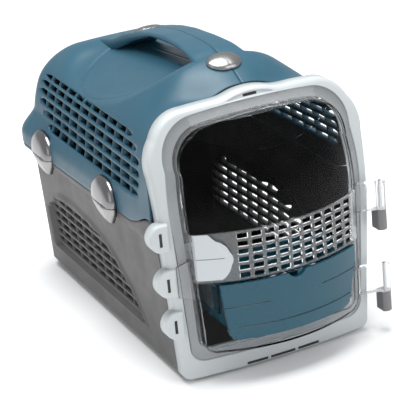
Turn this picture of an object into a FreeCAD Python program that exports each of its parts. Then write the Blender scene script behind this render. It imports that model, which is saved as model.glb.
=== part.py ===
"""Hard-shell pet transport carrier, built piece by piece.

Millimetres. +Z up, the door looks along -Y, +X is on the right of someone who faces the door.
The origin is on the floor, under the middle of the carrier's bounding box.
"""
import FreeCAD, Part
import math
import os

V = FreeCAD.Vector
X_AXIS, Y_AXIS, Z_AXIS = V(1, 0, 0), V(0, 1, 0), V(0, 0, 1)

# ---------------------------------------------------------------- driving dimensions
HALF_LEDGE = 148.5        # half width of the ledge where roof and base meet
REAR_Y = 266.0            # back of the ledge
FRONT_Y = -220.0          # front face of the frame on the centre line
PANE_Y = -258.0           # foremost point of the clear door
SEAM_Z = 194.0            # height of the roof and base seam
SEAM_FRONT_Z = 212.0      # the seam climbs to this height beside the frame
HUMP_Z = 345.0            # top of the frame's hump
HALF_OUTER = 157.5        # half of the overall width, over clips, lobes and hinges
WALL = 2.6                # moulded wall of base, roof and frame
CLEAR_WALL = 2.4          # moulded wall of the clear door
VENT_RIB_STEP = 30.0      # spacing of the upright ribs in the side vents
GAP = 0.5                 # clearance between parts that move past each other
RUNNING = 0.06            # radial clearance of a pin that turns in its hole
FOOT_H = 4.0              # rubber feet lift the tub by this much

FRONT_PLAN_R = 829.0      # bow of the front face, seen from above
LEAN_R = 389.0            # the front face leans back above this arc's start
LEAN_Z = 180.0
FRAME_DEPTH = 18.0
FACE_T = 6.6              # front plate of the frame
REBATE = 2.6              # the door's flange lies this deep in the frame
PANE_PLAN_R = 205.0       # bow of the clear pane, seen from above

HINGE_X, HINGE_Y = 146.5, -223.0          # door hinge axis
HINGE_LEVELS = {"upper": 184.0, "lower": 74.0}   # middle of each clear knuckle
KNUCKLE_H, BLOCK_H = 36.0, 26.0
PIN_R = 2.0

PANEL_AXIS_X, PANEL_AXIS_Z = 154.5, 196.0        # roof panels swing about these lines
SIDE_CLIP_Y = {"front": -52.0, "rear": 158.0}
CLIP_HALF_Y, CLIP_TOP_Z, CLIP_TIP_Z = 33.0, 228.0, 172.0

RECESS_Y, RECESS_RX, RECESS_RY = 45.0, 119.0, 120.0   # oval hand recess, seen from above
HANDLE_HALF = 30.0
TOP_CLIPS = {"front": (-130.0, 363.5, 17.0), "rear": (92.0, 354.0, -16.0)}  # y, z, tilt in degrees
TOP_CLIP_RX, TOP_CLIP_RY, TOP_CLIP_H = 17.5, 28.0, 11.0
TOP_CLIP_PIN_X, TOP_CLIP_PIN_Z = -14.0, 2.6

TRAY_LEFT, TRAY_RIGHT, TRAY_BOTTOM, TRAY_TOP = -86.0, 100.0, 61.0, 134.0
TRAY_DEPTH = 76.0
LATCH_BACK_Y = -201.8     # back face of the latch's bolt
LOBE_LEVELS = {"upper": 198.0, "middle": 139.0, "lower": 84.0}

pieces = {}


# ---------------------------------------------------------------- shared shape helpers
def path(points, place):
    """A closed wire from (u, v) corners; a corner given as ((u, v), (u, v)) is an arc's middle and end."""
    edges = []
    first = place(*points[0])
    here = first
    for item in list(points[1:]) + [points[0]]:
        if isinstance(item[0], tuple):
            mid, end = place(*item[0]), place(*item[1])
            edges.append(Part.Arc(here, mid, end).toShape())
        else:
            end = place(*item)
            if (end - here).Length < 1e-6:
                continue
            edges.append(Part.LineSegment(here, end).toShape())
        here = end
    return Part.Wire(edges)


def along_y(points, y0, y1):
    """A solid with an outline in X and Z, from y0 to y1."""
    face = Part.Face(path(points, lambda x, z: V(x, y0, z)))
    return face.extrude(V(0, y1 - y0, 0))


def along_x(points, x0, x1):
    """A solid with an outline in Y and Z, from x0 to x1."""
    face = Part.Face(path(points, lambda y, z: V(x0, y, z)))
    return face.extrude(V(x1 - x0, 0, 0))


def along_z(points, z0, z1):
    """A solid with an outline in X and Y, from z0 to z1."""
    face = Part.Face(path(points, lambda x, y: V(x, y, z0)))
    return face.extrude(V(0, 0, z1 - z0))


def inset(points, distance):
    """The along_y() face of an outline drawn smaller by a distance."""
    wire = path(points, lambda x, z: V(x, 0, z))
    return Part.Face(wire.makeOffset2D(-distance))


def push(face, y0, y1):
    """A face that lies in the plane Y = 0, carried from y0 to y1."""
    moved = face.copy()
    moved.translate(V(0, y0, 0))
    return moved.extrude(V(0, y1 - y0, 0))


def box(x0, x1, y0, y1, z0, z1):
    return Part.makeBox(x1 - x0, y1 - y0, z1 - z0, V(x0, y0, z0))


def rod(radius, start, end):
    axis = end - start
    return Part.makeCylinder(radius, axis.Length, start, axis)


def mirrored(shape):
    return shape.mirror(V(0, 0, 0), X_AXIS)


def one(shape):
    """The biggest solid of a boolean result."""
    return max(shape.Solids, key=lambda s: s.Volume)


def turned_front(plan_radius, front_y, shift):
    """Everything behind a bowed and leaning front face, as a solid of revolution about a vertical line."""
    centre = front_y + plan_radius
    foot, top = -30.0, 420.0
    low_lean = (LEAN_Z - foot) ** 2 * 1.176e-4
    top_lean = LEAN_R - math.sqrt(LEAN_R ** 2 - (top - LEAN_Z) ** 2)
    half = LEAN_R - math.sqrt(LEAN_R ** 2 - ((top - LEAN_Z) / 2) ** 2)
    points = [
        (0, foot),
        (plan_radius - low_lean, foot),
        ((plan_radius - low_lean / 4, (LEAN_Z + foot) / 2), (plan_radius, LEAN_Z)),
        ((plan_radius - half, (LEAN_Z + top) / 2), (plan_radius - top_lean, top)),
        (0, top),
    ]
    face = Part.Face(path(points, lambda r, z: V(r, 0, z)))
    solid = face.revolve(V(0, 0, 0), Z_AXIS, 360)
    solid.translate(V(0, centre + shift, 0))
    return solid


def pane_y(x):
    return PANE_Y + PANE_PLAN_R - math.sqrt(PANE_PLAN_R ** 2 - x ** 2)


def behind_frame(shift):
    return turned_front(FRONT_PLAN_R, FRONT_Y, shift)


# ---------------------------------------------------------------- outlines
def frame_outline():
    """Outer outline of the front frame: tapered sides, round shoulders, a hump for the door's top catch."""
    right = [
        (116, 4), ((126, 7.5), (129, 18)), (141.6, 200), ((142, 222), (141.4, 246)),
        ((136.5, 276), (127.5, 299)), ((113, 323), (84, 335.5)),
    ]
    crown = [((64, 337.6), (50, 338)), ((34, 339.5), (24, 342)), ((0, HUMP_Z), (-24, 342)),
             ((-34, 339.5), (-50, 338)), ((-64, 337.6), (-84, 335.5))]
    left = [
        ((-113, 323), (-127.5, 299)), ((-136.5, 276), (-141.4, 246)), ((-142, 222), (-141.6, 200)),
        (-129, 18), ((-126, 7.5), (-116, 4)),
    ]
    return right + crown + left


def door_outline():
    """Outline of the door's flange."""
    return [
        (96, 28), ((112, 34), (118, 50)), (126, 200), ((126, 240), (122.5, 272)), ((110, 314), (82, 328.5)),
        ((0, 332.5), (-82, 328.5)), ((-110, 314), (-122.5, 272)), ((-126, 240), (-126, 200)), (-118, 50),
        ((-112, 34), (-96, 28)),
    ]


def opening_outline():
    """Outline of the hole in the frame, which the door's bulge comes out of."""
    return [
        (88, 42), ((102, 46), (107, 58)), (113.5, 200), ((113.5, 240), (111, 266)), ((100, 305), (76, 318)),
        ((0, 322), (-76, 318)), ((-100, 305), (-111, 266)), ((-113.5, 240), (-113.5, 200)), (-107, 58),
        ((-102, 46), (-88, 42)),
    ]


def plan_outline(front_half, rear_half, rear_y, radius, front_y=-235.0):
    """Plan of a shell: straight tapered sides and two round rear corners."""
    r, k = radius, radius * (1 - math.sqrt(0.5))
    return [
        (front_half, front_y), (rear_half, rear_y - r), ((rear_half - k, rear_y - k), (rear_half - r, rear_y)),
        (-rear_half + r, rear_y), ((-rear_half + k, rear_y - k), (-rear_half, rear_y - r)),
        (-front_half, front_y),
    ]


def skin(levels):
    """A lofted solid through plans given as (z, front half width, rear half width, rear y, radius)."""
    wires = [path(plan_outline(f, r, y, c), lambda x, yy, z=z: V(x, yy, z)) for z, f, r, y, c in levels]
    return Part.makeLoft(wires, True, True)


# ---------------------------------------------------------------- base tub
def seam_cut(z_shift, keep_below):
    """The space under (or over) the seam: level at the back, climbing near the frame."""
    far = -60.0 if keep_below else 460.0
    z, zf = SEAM_Z + z_shift, SEAM_FRONT_Z + z_shift
    points = [(-260, far), (-260, zf), (-190, zf), ((-160, z + 5), (-118, z)), (280, z), (280, far)]
    return along_x(points, -200, 200)


def base_levels(shrink):
    s = shrink
    return [
        (FOOT_H + s, 119 - s, 115 - s, 246 - s, 24),
        (FOOT_H + 10, 128.3 - s, 125 - s, 256 - s, 28),
        (176, 139.6 - s, 134 - s, 259 - s, 38),
        (188, 141.8 - s, HALF_LEDGE - 1 - s, REAR_Y - 1 - s, 42),
        (SEAM_FRONT_Z + 8, 142.4 - s, HALF_LEDGE - s, REAR_Y - s, 42),
    ]


def grille_slots(rows, column_xs, side_x0, side_x1):
    """Cutters for a grille: rows of (z low, z high, y start, y end), broken by ribs at column_xs."""
    cutters = []
    rib = 2.4
    for z0, z1, y0, y1 in rows:
        stops = [y0] + [y for y in column_xs if y0 + 4 < y < y1 - 4] + [y1]
        for a, b in zip(stops[:-1], stops[1:]):
            lo = a + (rib / 2 if a != y0 else 0)
            hi = b - (rib / 2 if b != y1 else 0)
            cutters.append(box(side_x0, side_x1, lo, hi, z0, z1))
    return cutters


def base_grille_rows():
    """Six rows under an arched lip: each row starts further forward and ends where the lip comes down."""
    rows = []
    for i in range(6):
        z = 48.0 + 13.0 * i
        rear = 196.0 - 6.0 * i
        drop = max(z + 9 - 42, 0) / 98.0
        front = -112.0 + 130.0 * drop ** 1.6
        rows.append((z, z + 8.5, front, rear))
    return rows


def base_tub():
    outer = skin(base_levels(0)).common(seam_cut(-0.6, True))
    inner = skin(base_levels(WALL))
    tub = outer.cut(inner)
    tub = tub.common(behind_frame(FRAME_DEPTH))
    ribs = [-90 + VENT_RIB_STEP * i for i in range(10)]
    slots = grille_slots(base_grille_rows(), ribs, 100, 160) + grille_slots(base_grille_rows(), ribs, -160, -100)
    tub = tub.cut(Part.makeCompound(slots))
    for side in (1, -1):
        for y in SIDE_CLIP_Y.values():
            seat = box(136, 151.5, y - 24, y + 24, 176, 190)
            seat = seat.common(skin(base_levels(-3.5)))
            tub = tub.fuse(seat if side == 1 else mirrored(seat))
    return one(tub.removeSplitter())


def foot(x, y):
    pad = Part.makeCylinder(11, FOOT_H, V(x, y, 0))
    return pad.makeChamfer(1.2, [e for e in pad.Edges if e.BoundBox.ZMax < 0.01])


# ---------------------------------------------------------------- roof panels
def between(value, table):
    """Straight interpolation in a table of (value, result) pairs."""
    for (a, low), (b, high) in zip(table[:-1], table[1:]):
        if value <= b:
            return low + (high - low) * (value - a) / (b - a)
    return table[-1][1]


def ridge_height(y):
    """Height of the ridge above the shoulders along the carrier."""
    return between(y, [(-240, 2), (-200, 3), (-175, 7), (-157, 19), (-140, 27), (-118, 35), (-90, 41), (-50, 44),
                       (0, 44), (40, 40), (80, 33), (120, 25), (160, 14), (200, 6), (235, 0), (300, 0)])


def shoulder_z(y):
    return 336.0 - 14.0 * (y + 190) / 400


def roof_section(y, shrink):
    """One cross-section of the roof without its recess: (x, z) from the seam side round to the ledge."""
    top = shoulder_z(y)
    drop = 336.0 - top
    narrow = 0.025 * (y + 200)
    rise = ridge_height(y)
    spread = between(y, [(-240, 34), (-175, 34), (-157, 48), (-140, 66), (-118, 84), (-60, 90), (60, 75), (300, 75)])
    points = []
    for x in (0, 14, 28, 44, 60, 76):
        bell = math.exp(-(x / spread) ** 3)
        points.append((x, top - 1.5 * (x / 76.0) ** 2 + rise * bell))
    for x, z in ((94, 333), (111, 321), (122, 306), (130, 288), (137.5, 262), (141, 235), (141.4, 205), (141.4, 190)):
        lift = rise * math.exp(-(x / spread) ** 3)
        points.append((x - narrow, z - drop + lift if z > 260 else z))
    if shrink:
        moved = []
        for i, (x, z) in enumerate(points):
            x0, z0 = points[max(i - 1, 0)]
            x1, z1 = points[min(i + 1, len(points) - 1)]
            tx, tz = x1 - x0, z1 - z0
            if i == 0:
                tx, tz = 1.0, 0.0
            length = math.hypot(tx, tz)
            moved.append((x + tz / length * shrink, z - tx / length * shrink))
        points = moved
    return points


def roof_loft(shrink):
    stations = (-240, -200, -175, -157, -140, -118, -90, -50, 0, 40, 80, 120, 160, 200, 235, 285)
    wires = []
    for y in stations:
        half = roof_section(y, shrink)
        points = [V(-x, y, z) for x, z in reversed(half)] + [V(x, y, z) for x, z in half[1:]]
        curve = Part.BSplineCurve()
        curve.interpolate(points)
        wires.append(Part.Wire([curve.toShape(), Part.LineSegment(points[-1], points[0]).toShape()]))
    return Part.makeLoft(wires, True, False)


def roof_rear(shrink):
    """The round back of the roof: a plan with round corners, and a side profile with a round shoulder."""
    s = shrink
    plan = along_z(plan_outline(150, 139 - s, 256 - s, 46, -260), 150, 420)
    side = along_x([(-260, 150), (-260, 430), (160, 430), (204, 345), ((238 - s, 322 - s), (250 - s, 286)),
                    (257 - s, 200), (257 - s, 150)], -200, 200)
    return plan.common(side)


def skirt_levels(shrink):
    s = shrink
    return [
        (180, 142 - s, HALF_LEDGE - s, REAR_Y - s, 42),
        (205, 142 - s, HALF_LEDGE - s, REAR_Y - s, 42),
        (220, 141 - s, 144 - s, REAR_Y - 4 - s, 44),
        (240, 139 - s, 134.5 - s, 256 - s, 44),
    ]


def recess(grow):
    """The two hand recesses and the gap under the handle, as one solid; grow makes it bigger all round."""
    g = grow
    oval = Part.Ellipse(V(0, RECESS_Y, 0), RECESS_RY + g, RECESS_RX + g)
    oval.rotate(FreeCAD.Placement(V(0, RECESS_Y, 0), FreeCAD.Rotation(Z_AXIS, 90), V(0, 0, 0)))
    wall = Part.Face(Part.Wire([oval.toShape()]))
    wall.translate(V(0, 0, 250))
    wall = wall.extrude(V(0, 0, 200))
    floor = along_y([(-160, 285 - g), ((-80, 322 - g), (-18, 340 - g)), ((0, 342 - g), (18, 340 - g)),
                     ((80, 322 - g), (160, 285 - g)), (160, 450), (-160, 450)], -200, 260)
    tilt = math.degrees(math.atan(0.055))
    floor.rotate(V(0, 0, 340), X_AXIS, -tilt)
    return wall.common(floor)


def handle_bar():
    """The bar over the hand gap, before it is trimmed by the roof's outer face."""
    under = [(-110, 365), ((-20, 362), (60, 350)), ((110, 336), (175, 300)), (175, 420), (-110, 420)]
    return along_x(under, -HANDLE_HALF, HANDLE_HALF)


def top_clip_frame(which, shape):
    """Move a shape from a top clip's own frame to its place on the ridge."""
    y, z, tilt = TOP_CLIPS[which]
    moved = shape.copy()
    moved.rotate(V(0, 0, 0), X_AXIS, tilt)
    moved.translate(V(0, y, z))
    return moved


def top_clip_point(which, x, y, z):
    cy, cz, tilt = TOP_CLIPS[which]
    c, s = math.cos(math.radians(tilt)), math.sin(math.radians(tilt))
    return V(x, cy + y * c - z * s, cz + y * s + z * c)


def oval_prism(rx, ry, z0, z1):
    oval = Part.Ellipse(V(0, 0, z0), max(rx, ry), min(rx, ry))
    face = Part.Face(Part.Wire([oval.toShape()]))
    if ry > rx:
        face.rotate(V(0, 0, z0), Z_AXIS, 90)
    return face.extrude(V(0, 0, z1 - z0))


def clip_pocket(which, right, grow):
    """The seat of a top clip in a panel; on the right it is a deep ramp, so that the panel can swing away."""
    g = grow
    seat = oval_prism(TOP_CLIP_RX + 0.8 + g, TOP_CLIP_RY + 0.8 + g, -2.2 - g, 40)
    if right:
        ramp = along_y([(-3, -20 - g), (1, -20 - g), (TOP_CLIP_RX + 0.8 + g, -1.0 - g),
                        (TOP_CLIP_RX + 0.8 + g, 40), (-3, 40)], -TOP_CLIP_RY - g, TOP_CLIP_RY + g)
        seat = seat.fuse(ramp.common(oval_prism(TOP_CLIP_RX + 0.8 + g, TOP_CLIP_RY + 0.8 + g, -40, 40)))
    return top_clip_frame(which, seat)


def roof_grille_rows():
    rows = []
    for i in range(6):
        z = 229.5 + 12.8 * i
        rear = (150.0, 176.0, 194.0, 200.0, 200.0, 196.0)[i]
        front = (-76.0, -148.0, -160.0, -150.0, -134.0, -114.0)[i]
        rows.append((z, z + 8.4, front, rear))
    return rows


def roof_shell(right):
    """One roof panel: half of the roof, from the seam on the ridge to the ledge."""
    outer = roof_loft(0).common(roof_rear(0)).fuse(skin(skirt_levels(0)))
    inner = roof_loft(WALL).common(roof_rear(WALL)).fuse(skin(skirt_levels(WALL)))
    hand = recess(0).cut(handle_bar())
    cavity = inner.cut(recess(WALL))
    pockets = Part.makeCompound([clip_pocket(w, right, 0) for w in TOP_CLIPS])
    for w in TOP_CLIPS:
        cavity = cavity.cut(clip_pocket(w, right, 2.0))
    shell = outer.cut(hand).cut(cavity).cut(pockets)
    half = box(GAP / 2, 200, -300, 300, 150, 450) if right else box(-200, -GAP / 2, -300, 300, 150, 450)
    shell = shell.common(half).common(seam_cut(0, False)).common(behind_frame(FRAME_DEPTH + 1.4))
    ribs = [-140 + VENT_RIB_STEP * i for i in range(12)]
    x0, x1 = (106, 160) if right else (-160, -106)
    shell = shell.cut(Part.makeCompound(grille_slots(roof_grille_rows(), ribs, x0, x1)))
    return shell


# ---------------------------------------------------------------- side clips: hinges between roof and base
def clip_dome():
    """A whole side clip on the right, a teardrop dome that stands out from the ledge."""
    outline = [(-6, CLIP_TOP_Z), ((22, CLIP_TOP_Z - 8), (CLIP_HALF_Y, PANEL_AXIS_Z + 4)),
               ((26, 184), (-4, CLIP_TIP_Z)), (-14, CLIP_TIP_Z), ((-30, 182), (-CLIP_HALF_Y, PANEL_AXIS_Z + 4)),
               ((-26, CLIP_TOP_Z - 7), (-6, CLIP_TOP_Z))]
    return along_x(outline, HALF_LEDGE - 6, HALF_OUTER)


def clip_relief():
    """The swing of a side clip's outer face: everything further out than a roof-shaped limit."""
    a = PANEL_AXIS_X
    z = PANEL_AXIS_Z
    return along_y([(a + 3.5, z), (a + 1.2, z + 3.8), (149.2, CLIP_TOP_Z + 1), (130, CLIP_TOP_Z + 1),
                    (130, CLIP_TIP_Z - 1), (148.6, CLIP_TIP_Z - 1), (a + 1.2, z - 3.8)], -200, 300)


KNUCKLE_Y = 9.0           # half length of the roof's middle knuckle
BASE_KNUCKLE_Y = 22.0     # outer end of the base's two knuckles
BARREL_R = 3.5


def side_clip(y):
    """Upper leaf, lower leaf and pin of the right side clip at a place along the ledge."""
    z = PANEL_AXIS_Z
    dome = clip_dome().common(clip_relief())
    shell_out = skin(skirt_levels(-0.05)).fuse(skin(base_levels(-3.6)).common(box(100, 200, -300, 300, 150, 191)))
    dome.translate(V(0, y, 0))
    dome = dome.cut(shell_out)
    axis0, axis1 = V(PANEL_AXIS_X, y - BASE_KNUCKLE_Y, z), V(PANEL_AXIS_X, y + BASE_KNUCKLE_Y, z)
    middle = rod(BARREL_R, V(PANEL_AXIS_X, y - KNUCKLE_Y, z), V(PANEL_AXIS_X, y + KNUCKLE_Y, z))
    clear_all = rod(BARREL_R + GAP, V(PANEL_AXIS_X, y - 40, z), V(PANEL_AXIS_X, y + 40, z))
    clear_mid = rod(BARREL_R + GAP, V(PANEL_AXIS_X, y - KNUCKLE_Y - GAP, z), V(PANEL_AXIS_X, y + KNUCKLE_Y + GAP, z))
    ends = [rod(BARREL_R, V(PANEL_AXIS_X, y + s * (KNUCKLE_Y + GAP), z), V(PANEL_AXIS_X, y + s * BASE_KNUCKLE_Y, z))
            for s in (-1, 1)]
    bore = rod(PIN_R, axis0, axis1)
    loose = rod(PIN_R + RUNNING, axis0, axis1)
    above = dome.common(box(100, 200, -300, 300, z + 1.6, 260))
    web = box(146.5, PANEL_AXIS_X, y - KNUCKLE_Y, y + KNUCKLE_Y, z, z + 6)
    web = web.cut(shell_out).common(dome.fuse(middle))
    upper = above.cut(clear_all).fuse(web).fuse(middle).cut(loose)
    below = dome.common(box(100, 200, -300, 300, 150, z - 1.6))
    lower = below.cut(clear_all)
    for s, end in zip((-1, 1), ends):
        y0, y1 = sorted((y + s * (KNUCKLE_Y + GAP), y + s * BASE_KNUCKLE_Y))
        strip = box(148.5, PANEL_AXIS_X, y0, y1, z - 6, z).common(dome.fuse(end))
        lower = lower.fuse(strip).fuse(end)
    lower = lower.cut(clear_mid).cut(bore)
    return one(upper), one(lower), rod(PIN_R, axis0, axis1)


# ---------------------------------------------------------------- top clips: latches over the ridge seam
def top_clip(which):
    """Chrome latch: a hollow teardrop dome with a barrel for its pin and a tongue over the right panel."""
    scale = FreeCAD.Matrix()
    scale.scale(TOP_CLIP_RX, TOP_CLIP_RY, TOP_CLIP_H)
    dome = Part.makeSphere(1.0).transformGeometry(scale).common(box(-30, 30, -40, 40, 0, 20))
    scale = FreeCAD.Matrix()
    scale.scale(TOP_CLIP_RX - 2, TOP_CLIP_RY - 2, TOP_CLIP_H - 2)
    hollow = Part.makeSphere(1.0).transformGeometry(scale).common(box(-30, 30, -40, 40, -5, 20))
    dome = dome.cut(hollow)
    keep = box(-TOP_CLIP_RX, -12, -10, 10, 0, 8)
    scale = FreeCAD.Matrix()
    scale.scale(TOP_CLIP_RX - 0.5, TOP_CLIP_RY - 0.5, TOP_CLIP_H - 0.5)
    keep = keep.common(Part.makeSphere(1.0).transformGeometry(scale))
    tongue = box(7, 9.5, -8, 8, -4, 10.5).fuse(box(7, 12, -8, 8, -5.2, -3.4))
    tongue = tongue.common(Part.makeSphere(60, V(0, 0, -60 + TOP_CLIP_H)))
    clip = dome.fuse(keep).fuse(tongue)
    for y0 in (-14.2, 10.0):
        clip = clip.cut(box(-20, -9, y0, y0 + 4.2, -1, 6))
    clip = clip.cut(rod(1.2 + RUNNING, V(TOP_CLIP_PIN_X, -14, TOP_CLIP_PIN_Z), V(TOP_CLIP_PIN_X, 14, TOP_CLIP_PIN_Z)))
    return top_clip_frame(which, one(clip))


def top_clip_lugs(which):
    """Two lugs on the left panel that hold the top clip's pin."""
    lugs = None
    for s in (-1, 1):
        y0, y1 = sorted((s * 10.6, s * 13.6))
        lug = box(TOP_CLIP_PIN_X - 1.9, TOP_CLIP_PIN_X + 2.0, y0, y1, -6, TOP_CLIP_PIN_Z)
        lug = lug.fuse(rod(1.9, V(TOP_CLIP_PIN_X, y0, TOP_CLIP_PIN_Z), V(TOP_CLIP_PIN_X, y1, TOP_CLIP_PIN_Z)))
        lugs = lug if lugs is None else lugs.fuse(lug)
    return top_clip_frame(which, lugs)


def top_clip_pin(which):
    return top_clip_frame(which, rod(1.2, V(TOP_CLIP_PIN_X, -13.6, TOP_CLIP_PIN_Z), V(TOP_CLIP_PIN_X, 13.6, TOP_CLIP_PIN_Z)))


# ---------------------------------------------------------------- front frame
def lobe(z, left):
    """A D-shaped ear on the frame's edge, with the slot that takes a hinge or a catch."""
    half = 17.5
    edge = 141.6 - (200 - z) * 12.6 / 182
    tip = min(edge + 16, HALF_OUTER)
    outline = [(edge - 9, z + half), (edge + 4, z + half), ((tip, z + 3), (edge + 2, z - half)), (edge - 9, z - half)]
    ear = along_y(outline, FRONT_Y + 5.0, FRONT_Y + 21.0)
    slot = box(edge + 0.8, edge + 4.4, FRONT_Y - 5, FRONT_Y + 40, z - 8.5, z + 8.5)
    ear = ear.cut(slot)
    return mirrored(ear) if left else ear


def front_frame():
    outline = frame_outline()
    ring = along_y(outline, -300, -100).common(behind_frame(0)).cut(behind_frame(FRAME_DEPTH))
    hollow = push(inset(outline, 3.4), -300, -100).common(behind_frame(FACE_T))
    ring = ring.cut(hollow)
    door_face = path(door_outline(), lambda x, z: V(x, 0, z)).makeOffset2D(0.7)
    rebate = push(Part.Face(door_face), -300, -100).cut(behind_frame(REBATE))
    ring = ring.cut(rebate).cut(along_y(opening_outline(), -300, -100))
    for level in LOBE_LEVELS.values():
        ring = ring.fuse(lobe(level, True))
    for z in HINGE_LEVELS.values():
        boss = along_y([(130, z - 42), (149, z - 42), (152, z - 38), (152, z + 12), (149, z + 16), (130, z + 16)],
                       FRONT_Y + 8.5, FRONT_Y + 22)
        ring = ring.fuse(boss)
    slot = along_y([(-9, 338.5), ((0, 341), (9, 338.5)), (9, 335.6), (-9, 335.6)], -300, FRONT_Y + 60)
    ring = ring.cut(slot)
    for x0, x1 in ((-48, -20), (-16, 18), (22, 52)):
        ring = ring.cut(box(x0, x1, -240, FRONT_Y + 4.5, 7.5, 11))
    return one(ring.removeSplitter())


# ---------------------------------------------------------------- door
def pane_body(offset):
    """Everything behind the bulged pane: a bow in plan, the frame's lean above, and a rounded foot."""
    r = PANE_PLAN_R - offset
    top = 420.0
    lean = LEAN_R - math.sqrt(LEAN_R ** 2 - (top - LEAN_Z) ** 2)
    half = LEAN_R - math.sqrt(LEAN_R ** 2 - ((top - LEAN_Z) / 2) ** 2)
    points = [(0, 0), (r - 44, 0), ((r - 9, 36), (r, 84)), (r, LEAN_Z),
              ((r - half, (LEAN_Z + top) / 2), (r - lean, top)), (0, top)]
    face = Part.Face(path(points, lambda rr, z: V(rr, 0, z)))
    solid = face.revolve(V(0, 0, 0), Z_AXIS, 360)
    solid.translate(V(0, PANE_Y + PANE_PLAN_R, 0))
    brow = along_x([(-240 + offset * 0.5, 291 - offset), (-194 + offset * 0.5, 324 - offset), (100, 324 - offset),
                    (100, -20), (-300, -20), (-300, 249 - offset)], -160, 160)
    return solid.common(brow)


def bulge(wall):
    """The solid the door bulges into; wall shrinks it on every side."""
    side = push(inset(opening_outline(), wall + 0.8), -300, -100)
    return side.common(pane_body(wall))


def tray_outline(grow):
    g = grow
    return [(TRAY_LEFT - g, TRAY_TOP + g), (TRAY_LEFT - g, 122), (TRAY_LEFT + 5 - g, 74),
            ((TRAY_LEFT + 9 - g, 64 - g), (TRAY_LEFT + 20, TRAY_BOTTOM - g)), (TRAY_RIGHT - 34, TRAY_BOTTOM - g),
            ((TRAY_RIGHT - 20 + g, 64 - g), (TRAY_RIGHT - 14 + g, 74)), (TRAY_RIGHT + g, 118), (TRAY_RIGHT + g, TRAY_TOP + g)]


def door_knuckle(z):
    """A clear hinge knuckle with its strap on to the door's flange."""
    z0, z1 = z - KNUCKLE_H / 2, z + KNUCKLE_H / 2
    barrel = rod(7.0, V(HINGE_X, HINGE_Y, z0), V(HINGE_X, HINGE_Y, z1))
    strap = along_z([(114, -217), (HINGE_X, HINGE_Y - 4.5), (HINGE_X, HINGE_Y + 4.5), (138, -214.5), (125, -211.8),
                     (118, -209.5), (114, -210)], z0, z1)
    return barrel.fuse(strap)


def door_shell():
    flange = along_y(door_outline(), -300, -100).common(behind_frame(0)).cut(behind_frame(REBATE - 0.3))
    flange = flange.cut(push(inset(opening_outline(), CLEAR_WALL + 0.8), -300, -100))
    shell = bulge(0).cut(behind_frame(REBATE - 0.3)).cut(bulge(CLEAR_WALL))
    door = flange.fuse(shell)
    for z in HINGE_LEVELS.values():
        door = door.fuse(door_knuckle(z))
    catch = along_y([(-127, 118), (-109, 112), (-109, 164), (-127, 158)], -300, -100)
    catch = catch.common(behind_frame(-2.6)).cut(behind_frame(-0.4))
    door = door.fuse(catch)
    window = along_y(tray_outline(0.6), -300, -100)
    door = door.cut(window)
    cutters = []
    for row in range(6):
        z0 = 139.5 + 10.0 * row
        for column in range(10):
            x0 = -62.0 + 16.5 * column
            if x0 + 12.5 < 104:
                cutters.append(box(x0, x0 + 12.5, -290, pane_y(x0) + 16, z0, z0 + 6.6))
    cutters.append(box(-108, -80, -290, -200, 158, 184))
    door = door.cut(Part.makeCompound(cutters))
    for z in HINGE_LEVELS.values():
        door = door.cut(rod(PIN_R + RUNNING, V(HINGE_X, HINGE_Y, z - 40), V(HINGE_X, HINGE_Y, z + 40)))
    rail_y = -232.0
    for x0, x1 in ((TRAY_LEFT - 2.6, TRAY_LEFT - 0.7), (TRAY_RIGHT + 0.7, TRAY_RIGHT + 2.6)):
        rail = box(x0, x1, pane_y(x0), rail_y + 52, 96, TRAY_TOP - 1)
        rail = rail.common(pane_body(0.5))
        door = door.fuse(rail)
    return one(door.removeSplitter())


# ---------------------------------------------------------------- feeding tray
def feeding_tray():
    """The drawer in the door: a bowed front, and an open dish behind it."""
    front = along_y(tray_outline(0), -300, -100).common(pane_body(-2.6)).cut(pane_body(1.2))
    z0, z1 = 76.0, TRAY_TOP - 6
    y1 = -230 + TRAY_DEPTH
    body = along_y(tray_outline(-0.5), -250, y1).common(box(-120, 120, -280, y1, z0, z1)).common(pane_body(0.5))
    dish = along_y(tray_outline(-2.9), -280, y1 - 2.2).common(box(-120, 120, -280, y1, z0 + 2.2, 200))
    dish = dish.common(pane_body(3.4)).fuse(box(-80, 94, -246, y1 - 2.2, z1 - 1, z1 + 1).common(pane_body(3.4)))
    wall = box(4.0, 6.2, -250, y1 - 1, z0 + 1, z1 - 6).common(pane_body(1.0))
    body = body.cut(dish).fuse(wall)
    tray = front.fuse(body)
    notch = rod(13, V(7, -300, 140), V(7, -245, 140))
    tray = tray.cut(notch.common(box(-20, 40, -300, PANE_Y + 1.4, 100, 200)))
    return one(tray.removeSplitter())


# ---------------------------------------------------------------- latch
def latch_paddle():
    """White sliding latch on the door, with the bolt that goes in behind the frame."""
    outline = [(-110, 143), (-84, 143), ((-77, 150), (-73, 160)), ((-70.5, 168), (-74, 177)),
               ((-79, 186), (-86, 190)), ((-90, 194), (-94, 199)), (-110, 199)]
    paddle = along_y(outline, -300, -100).common(pane_body(-5.4)).cut(pane_body(-0.5))
    neck = box(-104, -96, -262, -217.5, 160, 182).common(pane_body(-4.0))
    arm = box(-104, -96, -232, LATCH_BACK_Y, 162, 180)
    bolt = box(-110, -96, LATCH_BACK_Y - 3, LATCH_BACK_Y, 162, 180)
    return one(paddle.fuse(neck).fuse(arm).fuse(bolt))


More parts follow.
